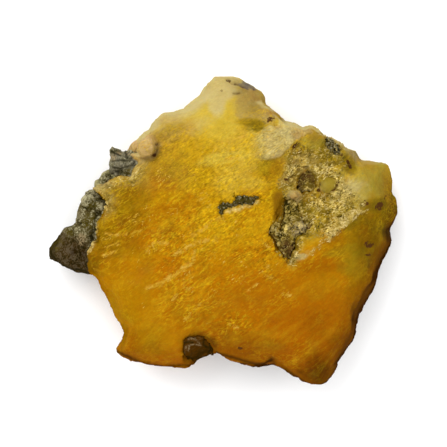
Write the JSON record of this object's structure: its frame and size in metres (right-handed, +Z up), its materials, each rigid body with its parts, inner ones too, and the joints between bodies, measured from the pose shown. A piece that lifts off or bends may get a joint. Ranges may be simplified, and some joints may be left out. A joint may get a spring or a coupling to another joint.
{
  "type": "raw brucite specimen",
  "caption": "Irregular five-cornered plate of raw yellow brucite with dark serpentine rock set in its edge and face, lying flat.",
  "frame": {"origin": "under the middle of the specimen's box, on the surface that it lies on", "axes": "+X along its longest extent, to the blunt corner opposite the largest rock lump; +Y to the peak of its outline; +Z up through its thickness"},
  "size_m": [0.077, 0.0676, 0.0207],
  "materials": {
    "brucite": "waxy, slightly translucent honey-yellow mineral with pale broken places",
    "serpentine": "rough, dull, grey-green to brown-black granular rock"
  },
  "bodies": {
    "root": {"brucite_mass": "brucite", "serpentine_lump_left": "serpentine", "serpentine_nub_left": "serpentine", "serpentine_shard_upper_left": "serpentine", "serpentine_lump_bottom": "serpentine", "serpentine_wedge_centre": "serpentine", "serpentine_crust_in_hollow": "serpentine", "serpentine_patch_in_pocket": "serpentine", "serpentine_grain_upper_right": "serpentine"}
  },
  "joints": []
}
